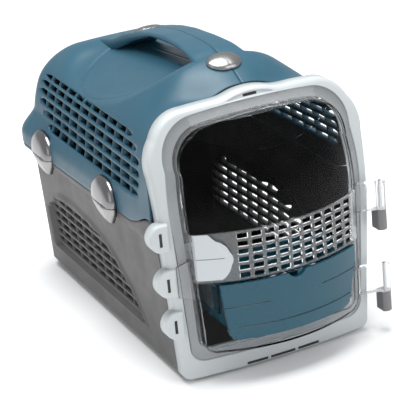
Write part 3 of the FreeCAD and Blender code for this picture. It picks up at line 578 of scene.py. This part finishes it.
def cast(origin, direction):
    """Where rays from inside leave the roof: 26 halvings of the stretch between 0 and 240 mm."""
    low = np.zeros(origin.shape[:-1])
    high = np.full(origin.shape[:-1], RAY_LENGTH)
    for _ in range(HALVINGS):
        middle = (low + high) / 2
        inside = roof_field(*np.moveaxis(origin + direction * middle[..., None], -1, 0)) < 0
        low = np.where(inside, middle, low)
        high = np.where(inside, high, middle)
    return origin + direction * ((low + high) / 2)[..., None]


def roof_half():
    """The left panel as three ray-cast grids: side and top, round rear corner, and back."""
    levels = [np.linspace(SEAM_Z, VENT_ROWS[0][0], 10)[:-1]]
    for low, high in VENT_ROWS:
        levels.append(np.linspace(low, high, 5)[:-1])
        levels.append(np.linspace(high, low + ROOF_STEP, 3)[:-1])
    levels.append([VENT_ROWS[-1][0] + ROOF_STEP])
    z_wall = np.concatenate(levels)
    tilt = np.arctan2(np.maximum(z_wall - CORE_Z, 0), 70.0)
    tilt = np.concatenate([tilt, np.linspace(tilt[-1], math.pi / 2, 48)[1:]])
    z_start = np.concatenate([np.minimum(z_wall, CORE_Z), np.full(47, CORE_Z)])
    x_top = np.linspace(CORE_X, RIDGE_GAP, 26)[1:]
    y_line = vent_columns(ROOF_FRONT_Y, CORE_Y, 2.6)
    n_up, n_top, n_y = len(tilt), len(x_top), len(y_line)
    x0 = -np.concatenate([np.full(n_up, CORE_X), x_top])
    z0 = np.concatenate([z_start, np.full(n_top, CORE_Z)])
    tilt_all = np.concatenate([tilt, np.full(n_top, math.pi / 2)])
    heading = np.stack([-np.cos(tilt_all), 0 * tilt_all, np.sin(tilt_all)], axis=-1)
    heading[n_up - 1:, 0] = 0.0
    z_grid = np.repeat(z0[:, None], n_y, axis=1)
    climb = np.clip((240.0 - z0) / 46.0, 0, 1)[:, None] * (seam(y_line) - SEAM_Z)[None, :]
    wall_rows = len(z_wall)
    cut = np.zeros((wall_rows - 1, n_y - 1), bool)
    for (low, high), front, rear in zip(VENT_ROWS, VENT_FRONT, VENT_REAR):
        depth = np.minimum(rear - y_line, y_line - front)
        shift, cells = slot_row(z_wall, y_line, low, high, depth, ROOF_FRONT_Y)
        z_grid[:wall_rows] += shift
        cut |= cells
    z_grid = z_grid + climb
    probe = cast(np.stack([x0, np.full(len(x0), RAY_FRONT_Y), z0], axis=-1), heading)
    mouth = front_edge(probe[:, 0], probe[:, 2] + climb[:, 0], 1.4)
    share = np.clip((y_line + 150.0) / -50.0, 0, 1)
    y_grid = y_line[None, :] + share[None, :] * (mouth[:, None] - ROOF_FRONT_Y)
    start = np.stack([np.repeat(x0[:, None], n_y, axis=1), y_grid, z_grid], axis=-1)
    side = cast(start, np.repeat(heading[:, None, :], n_y, axis=1))
    keep = np.ones((len(x0) - 1, n_y - 1), bool)
    keep[:wall_rows - 1] &= ~cut
    turn = np.radians(np.linspace(0, 90, 22))
    sweep = np.stack([-np.outer(np.cos(tilt), np.cos(turn)), np.outer(np.cos(tilt), np.sin(turn)),
                      np.repeat(np.sin(tilt)[:, None], len(turn), axis=1)], axis=-1)
    sweep[n_up - 1, :, :2] = 0.0
    hub = np.stack([np.full(n_up, -CORE_X), np.full(n_up, CORE_Y), z_start], axis=-1)
    corner = cast(np.repeat(hub[:, None, :], len(turn), axis=1), sweep)
    x_rear = -np.concatenate([[CORE_X], x_top])
    rear_hub = np.stack([np.repeat(x_rear[None, :], n_up, axis=0), np.full((n_up, n_top + 1), CORE_Y),
                         np.repeat(z_start[:, None], n_top + 1, axis=1)], axis=-1)
    rear_way = np.stack([np.zeros((n_up, n_top + 1)), np.repeat(np.cos(tilt)[:, None], n_top + 1, axis=1),
                         np.repeat(np.sin(tilt)[:, None], n_top + 1, axis=1)], axis=-1)
    rear_way[n_up - 1, :, 1] = 0.0
    rear = cast(rear_hub, rear_way)
    return [(side, grid_faces(*side.shape[:2], keep)), (corner, grid_faces(*corner.shape[:2])),
            (rear, grid_faces(*rear.shape[:2]))]


UNDER_Y = [-112, -100, -86, -29, 39, 101, 151, 172]
UNDER_Z = [350, 363, 367.5, 366, 361, 341, 318, 308]


def handle_half():
    """Half of the handle: stations along the ridge, each a flat bar section with a round outer edge."""
    y = np.linspace(-116, 186, 96)[:, None]
    width = 25.0 + 7.0 * ((y - 30.0) / 120.0) ** 2
    below = np.mean([np.interp(y + d, UNDER_Y, UNDER_Z) for d in (-10, -5, 0, 5, 10)], axis=0)
    inner = np.linspace(0.25, 1, 9)[None, :-1]
    bend = np.radians(np.linspace(90, -90, 13))[None, :]
    edge_top = roof_top(width - 4.0, y)
    half = (edge_top - below) / 2
    x_top = 0.25 + (width - 4.25) * (inner - 0.25) / 0.75
    x_edge = width - 4.0 + 4.0 * np.cos(bend)
    z_edge = below + half + half * np.sin(bend)
    x_under = np.broadcast_to(x_top[:, ::-1], x_top.shape)
    x = np.concatenate([x_top, x_edge, x_under, x_top[:, :1]], axis=1)
    fade = 0.15 - 1.6 * smooth((np.abs(y - 35.0) - 131.0) / 18.0)
    z = np.concatenate([roof_top(x_top, y) + fade, z_edge, np.broadcast_to(below, x_top.shape),
                        roof_top(x_top[:, :1], y) + fade], axis=1)
    points = np.stack([-x, np.broadcast_to(y, x.shape), z], axis=-1)
    return points, grid_faces(*x.shape)


def roof_share(points):
    """Share of the roof's wall thickness: its vent bars reach 8 mm in as well, and the rest is 2.6 mm."""
    y, z = points[:, 1], points[:, 2]
    rear = np.interp(z, [low for low, _ in VENT_ROWS], VENT_REAR) + 3.0
    front = np.interp(z, [low for low, _ in VENT_ROWS], VENT_FRONT) - 3.0
    inside = np.minimum(np.minimum(rear - y, y - front), np.minimum(z - 227.0, 306.0 - z))
    blades = smooth(inside / 3.0) * (np.abs(points[:, 0]) > 90.0)
    return WALL / DEEP_RIB + (1.0 - WALL / DEEP_RIB) * blades


blue = moulded("blue_plastic", (0.021, 0.079, 0.118), 0.38, vary=0.04, grain=0.16, gleam=0.35)
# Painted shade: the roof wall's inner side gets a near-black colour that stands for the unlit inside under the
# roof.
blue_shadow = moulded("blue_inside_painted_shade", (0.005, 0.006, 0.008), 0.9)
for hand, turned in (("left", False), ("right", True)):
    mirror = np.array([-1.0 if turned else 1.0, 1, 1])
    panel = [(p * mirror, q) for p, q in roof_half()]
    piece_from("roof_" + hand, panel, hand + "_roof", [blue, blue_shadow], wall=DEEP_RIB,
               flip=not turned, replaces=["roof_panel_" + hand], deep=roof_share)
    bar, quads = handle_half()
    piece_from("handle_" + hand, [(bar * mirror, quads)], hand + "_roof", [blue], flip=turned)


# ------------------------------------------------------------------ clips
# Plated plastic mouldings. A side clip is one domed button cut at its fold line: the upper leaf goes with the
# roof panel, and the lower leaf stays on the tub and stands for the pin too. Two more sit along the ridge.
def metal(name, colour, roughness, streak=0.04):
    """Plated plastic: a metal coat with faint streaks and smudges in its gloss."""
    material, tree, shader, make = node_chain(name)
    where = make("ShaderNodeTexCoord").outputs["Object"]
    stretched = make("ShaderNodeMapping", {"Vector": where, "Scale": (1.0, 0.12, 1.0)})
    lines = make("ShaderNodeTexNoise", {"Vector": stretched.outputs["Vector"], "Scale": 700.0, "Detail": 3.0})
    gloss = make("ShaderNodeMapRange", {"Value": lines.outputs["Fac"], "From Min": 0.3, "From Max": 0.7,
                                        "To Min": max(roughness - streak, 0.02), "To Max": roughness + streak})
    tree.links.new(gloss.outputs["Result"], shader.inputs["Roughness"])
    cloud = make("ShaderNodeTexNoise", {"Vector": where, "Scale": 60.0, "Detail": 3.0})
    tone = make("ShaderNodeValToRGB", {"Fac": cloud.outputs["Fac"]})
    tone.color_ramp.elements[0].color = (*[c * 0.95 for c in colour], 1)
    tone.color_ramp.elements[1].color = (*colour, 1)
    tree.links.new(tone.outputs["Color"], shader.inputs["Base Color"])
    relief = make("ShaderNodeBump", {"Height": lines.outputs["Fac"], "Strength": 0.04, "Distance": 0.0001})
    tree.links.new(relief.outputs["Normal"], shader.inputs["Normal"])
    shader.inputs["Metallic"].default_value = 1.0
    return material


polished = metal("polished_clip", (0.24, 0.235, 0.24), 0.2)
satin = metal("satin_clip", (0.31, 0.31, 0.305), 0.3)
wire = metal("pin_steel", (0.5, 0.5, 0.51), 0.3)


def dome(line, centre, height, skirt, power=2.4):
    """A domed button over an outline: rings from the rim to the crown, with a wall and a floor below.

    Each ring is a share r of the outline's reach, and its height is (1 - r^power)^(1/2) of the crown's.
    """
    around = np.linspace(0, 2 * math.pi, 97)
    far = reach(line, np.array(centre), around)
    shares = np.sin(np.radians(np.linspace(90, 0, 16)))
    rows = [(0.0, -skirt), (1.0, -skirt)] + [(r, height * math.sqrt(max(1 - r**power, 0))) for r in shares]
    radius = np.array([r for r, _ in rows])[:, None] * far
    lift = np.array([h for _, h in rows])[:, None] + 0 * radius
    return centre[0] + radius * np.cos(around), centre[1] + radius * np.sin(around), lift


def sliced(made, z, above):
    """Keep the half of a piece above or below a height in mm, with the cut closed."""
    mesh = bmesh.new()
    mesh.from_mesh(made.data)
    everything = mesh.verts[:] + mesh.edges[:] + mesh.faces[:]
    found = bmesh.ops.bisect_plane(mesh, geom=everything, plane_co=(0, 0, z * MM), plane_no=(0, 0, 1),
                                   clear_inner=above, clear_outer=not above)
    rim = [e for e in found["geom_cut"] if isinstance(e, bmesh.types.BMEdge)]
    bmesh.ops.contextual_create(mesh, geom=rim)
    mesh.to_mesh(made.data)
    mesh.free()


CLIP_LINE = [(0, 228), ((-22, 222), (-34, 206)), ((-34, 196), (-31, 186)), (-22, 173.5), ((12, 178), (33, 190)),
             ((36, 206), (26, 219)), ((15, 226), (0, 228))]
TOP_LINE = [(-26, 0), ((-18, -13), (-2, -17)), ((14, -11), (18, 0)), ((14, 11), (-2, 17)), ((-18, 13), (-26, 0))]
SIDE_CLIPS = {"front": -52.0, "rear": 158.0}
TOP_CLIPS = {"front": (-130.0, 362.0, 17.0), "rear": (92.0, 350.0, -16.0)}
FOLD_Z, FOLD_GAP, FOLD_LIFT, FOLD_RISE = 196.0, 0.5, 7.0, 0.88
CLIP_BACK_X, CLIP_LEAN = 147.2, 0.10
for hand, sign in (("left", -1.0), ("right", 1.0)):
    for place, middle_y in SIDE_CLIPS.items():
        y, z, lift = dome(CLIP_LINE, (-12.0, 202.0), 8.8, 3.0)
        lift = np.minimum(lift, FOLD_LIFT + FOLD_RISE * np.maximum(np.abs(z - FOLD_Z) - FOLD_GAP, 0))
        lean = CLIP_LEAN * np.maximum(z - FOLD_Z, 0)
        button = np.stack([sign * (CLIP_BACK_X + lift - lean), middle_y + y, z], axis=-1)
        for part, above, body, finish, slot_name in (("upper", True, hand + "_roof", polished, "polished_clip"),
                                                     ("lower", False, "shell", satin, "satin_clip")):
            hidden = ["side_clip_%s_%s_%s" % (part, hand, place)]
            if part == "lower":
                hidden.append("side_clip_pin_%s_%s" % (hand, place))
            leaf = piece_from("clip_%s_%s_%s" % (part, hand, place), [(button, grid_faces(*y.shape))], body,
                              [finish], flip=sign > 0, replaces=hidden)
            sliced(leaf, FOLD_Z + (FOLD_GAP if above else -FOLD_GAP), above)
for place, (middle_y, middle_z, tilt) in TOP_CLIPS.items():
    x, y, lift = dome(TOP_LINE, (-3.0, 0.0), 7.0, 4.0, 2.0)
    slope = math.radians(tilt)
    raised = lift + 3.0
    button = np.stack([x, middle_y + y * math.cos(slope) - raised * math.sin(slope),
                       middle_z + y * math.sin(slope) + raised * math.cos(slope)], axis=-1)
    piece_from("top_button_" + place, [(button, grid_faces(*x.shape))], "top_clip_" + place,
               [satin], replaces=["top_clip_" + place])
dress(wire, *[n for n in nodes if "_pin_" in n])


# ------------------------------------------------------------------ door
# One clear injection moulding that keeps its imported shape: a bowed flange with a raised box in front of it. It
# hangs on the hinges at the right and catches in the frame's ears at the left.
def clear_plastic(name, tint, roughness, index):
    """Clear moulded plastic with faint flow waves in its surface and its gloss."""
    material, tree, shader, make = node_chain(name)
    where = make("ShaderNodeTexCoord").outputs["Object"]
    waves = make("ShaderNodeTexNoise", {"Vector": where, "Scale": 45.0, "Detail": 2.0})
    relief = make("ShaderNodeBump", {"Height": waves.outputs["Fac"], "Strength": 0.1, "Distance": 0.0005})
    tree.links.new(relief.outputs["Normal"], shader.inputs["Normal"])
    haze = make("ShaderNodeMapRange", {"Value": waves.outputs["Fac"], "To Min": roughness * 0.6,
                                       "To Max": roughness * 1.5})
    tree.links.new(haze.outputs["Result"], shader.inputs["Roughness"])
    shader.inputs["Base Color"].default_value = (*tint, 1)
    shader.inputs["Transmission Weight"].default_value = 1.0
    shader.inputs["IOR"].default_value = index
    return material, tree, shader, make


def door_plastic():
    """The door's clear plastic: a thin clear pane, and a slightly milky grid band, flange and hinge knuckles.

    The pane is what stands ahead of the flange, whose place follows the frame's bow and lean, less the band.
    """
    material, tree, shader, make = clear_plastic("clear_plastic", (0.95, 0.96, 0.97), 0.03, 1.45)
    where = make("ShaderNodeTexCoord").outputs["Object"]
    place = make("ShaderNodeSeparateXYZ", {"Vector": where})
    high = make("ShaderNodeMapRange", {"Value": place.outputs["Z"], "From Min": 0.1985, "From Max": 0.2})
    low = make("ShaderNodeMapRange", {"Value": place.outputs["Z"], "From Min": 0.138, "From Max": 0.1365})
    off_grid = make("ShaderNodeMath", {0: high.outputs["Result"], 1: low.outputs["Result"]}, operation="MAXIMUM")
    across = make("ShaderNodeMath", {0: place.outputs["X"], 1: place.outputs["X"]}, operation="MULTIPLY")
    bow = make("ShaderNodeMath", {0: across.outputs[0], 1: 0.603, 2: -0.2245}, operation="MULTIPLY_ADD")
    above = make("ShaderNodeMath", {0: place.outputs["Z"], 1: 0.18}, operation="SUBTRACT")
    above = make("ShaderNodeMath", {0: above.outputs[0], 1: 0.0}, operation="MAXIMUM")
    lean = make("ShaderNodeMath", {0: above.outputs[0], 1: above.outputs[0]}, operation="MULTIPLY")
    flange = make("ShaderNodeMath", {0: lean.outputs[0], 1: 1.285, 2: bow.outputs[0]}, operation="MULTIPLY_ADD")
    ahead = make("ShaderNodeMath", {0: flange.outputs[0], 1: place.outputs["Y"]}, operation="GREATER_THAN")
    pane = make("ShaderNodeMath", {0: off_grid.outputs[0], 1: ahead.outputs[0]}, operation="MULTIPLY")
    index = make("ShaderNodeMapRange", {"Value": pane.outputs[0], "To Min": 1.42, "To Max": 1.12})
    tree.links.new(index.outputs["Result"], shader.inputs["IOR"])
    milk = make("ShaderNodeMapRange", {"Value": pane.outputs[0], "To Min": 0.95, "To Max": 1.0})
    knuckle = make("ShaderNodeMapRange", {"Value": place.outputs["X"], "From Min": 0.1295, "From Max": 0.131,
                                          "To Min": 0.0, "To Max": 0.22})
    clear = make("ShaderNodeMath", {0: milk.outputs["Result"], 1: knuckle.outputs["Result"]},
                 operation="SUBTRACT")
    tree.links.new(clear.outputs[0], shader.inputs["Transmission Weight"])
    return material


dress(door_plastic(), "door_shell")


# ------------------------------------------------------------------ feeding drawer, latch and hinges
# A blue drawer, a white latch paddle and two grey hinge blocks, all small plastic mouldings that keep their
# imported shapes. The drawer's and the paddle's shallow grooves are cut in by bump, with painted shade: a darker
# tone in each groove.
def grooved(material, grooves):
    """Cut shallow grooves into a material by bump, and paint shade into them as a darker tone: each is (height,
    slope, left end, right end, half width) in metres.
    """
    tree = material.node_tree
    where = tree.nodes.new("ShaderNodeTexCoord")
    place = tree.nodes.new("ShaderNodeSeparateXYZ")
    tree.links.new(where.outputs["Object"], place.inputs["Vector"])

    def step(kind, *values):
        node = tree.nodes.new("ShaderNodeMath")
        node.operation = kind
        for index, value in enumerate(values):
            if isinstance(value, float):
                node.inputs[index].default_value = value
            else:
                tree.links.new(value, node.inputs[index])
        return node.outputs[0]

    total = None
    for height, slope, left, right, half in grooves:
        line = step("MULTIPLY_ADD", place.outputs["X"], slope, height)
        away = step("ABSOLUTE", step("SUBTRACT", place.outputs["Z"], line))
        depth = step("MAXIMUM", step("MULTIPLY_ADD", away, -1.0 / half, 1.0), 0.0)
        span = step("MULTIPLY", step("GREATER_THAN", place.outputs["X"], left),
                    step("LESS_THAN", place.outputs["X"], right))
        cut = step("MULTIPLY", depth, span)
        total = cut if total is None else step("MAXIMUM", total, cut)
    relief = tree.nodes.new("ShaderNodeBump")
    relief.invert = True
    relief.inputs["Strength"].default_value = 1.0
    relief.inputs["Distance"].default_value = 0.0015
    shader = tree.nodes["Principled BSDF"]
    tree.links.new(shader.inputs["Normal"].links[0].from_socket, relief.inputs["Normal"])
    tree.links.new(total, relief.inputs["Height"])
    tree.links.new(relief.outputs["Normal"], shader.inputs["Normal"])
    # Painted shade: the groove mask mixes the base colour towards a near-black blue inside each groove.
    groove_painted_shade = tree.nodes.new("ShaderNodeMix")
    groove_painted_shade.data_type = "RGBA"
    tree.links.new(step("MULTIPLY", total, 0.8), groove_painted_shade.inputs["Factor"])
    tree.links.new(shader.inputs["Base Color"].links[0].from_socket, groove_painted_shade.inputs[6])
    groove_painted_shade.inputs[7].default_value = (0.01, 0.02, 0.03, 1)
    tree.links.new(groove_painted_shade.outputs[2], shader.inputs["Base Color"])


tray_blue = moulded("tray_plastic", (0.009, 0.066, 0.100), 0.26, vary=0.03, grain=0.04, gleam=0.35)
grooved(tray_blue, [(0.1055, 0.02, -0.088, -0.030, 0.0007), (0.1085, -0.02, 0.040, 0.102, 0.0007),
                    (0.0775, 0.0, -0.070, 0.086, 0.0009)])
dress(tray_blue, "feeding_tray")
latch_white = moulded("latch_plastic", (0.47, 0.50, 0.52), 0.3, vary=0.01, grain=0.03, coat=0.2)
grooved(latch_white, [(0.170, 0.0, -0.110, -0.080, 0.0006)])
dress(latch_white, "latch_paddle")
grey = moulded("grey_plastic", (0.15, 0.15, 0.155), 0.42, vary=0.04)
dress(grey, "hinge_block_upper", "hinge_block_lower")
